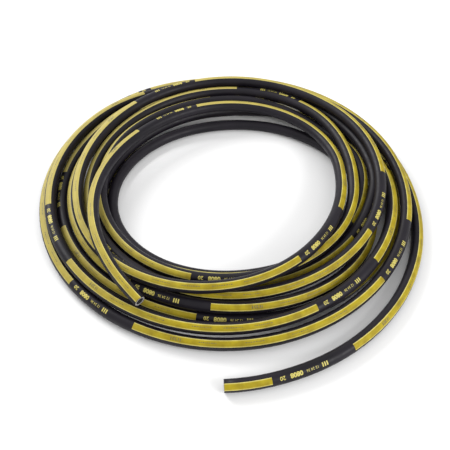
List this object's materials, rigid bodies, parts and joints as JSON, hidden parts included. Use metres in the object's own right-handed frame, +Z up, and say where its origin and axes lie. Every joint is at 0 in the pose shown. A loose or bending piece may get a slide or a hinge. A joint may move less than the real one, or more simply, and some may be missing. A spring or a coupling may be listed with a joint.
{
  "type": "hydraulic hose",
  "caption": "Wire-reinforced rubber hydraulic hose with plain cut ends, lying in a loose coil on the floor with its free end running out at the front.",
  "frame": {"origin": "middle of the coil's footprint on the floor, the free end included", "axes": "+Z up, -Y towards the side where the free end lies, +X to the right seen from there"},
  "size_m": [0.8268, 0.9078, 0.0939],
  "materials": {
    "cover_rubber": "black synthetic rubber with a fine wrapped texture, a soft sheen and a long printed yellow band",
    "reinforcement_wire": "bright high-tensile steel wire, cut square",
    "tube_rubber": "smooth matt black nitrile rubber"
  },
  "bodies": {
    "root": {"outer_cover": "cover_rubber", "wire_reinforcement": "reinforcement_wire", "inner_tube": "tube_rubber"}
  },
  "joints": []
}
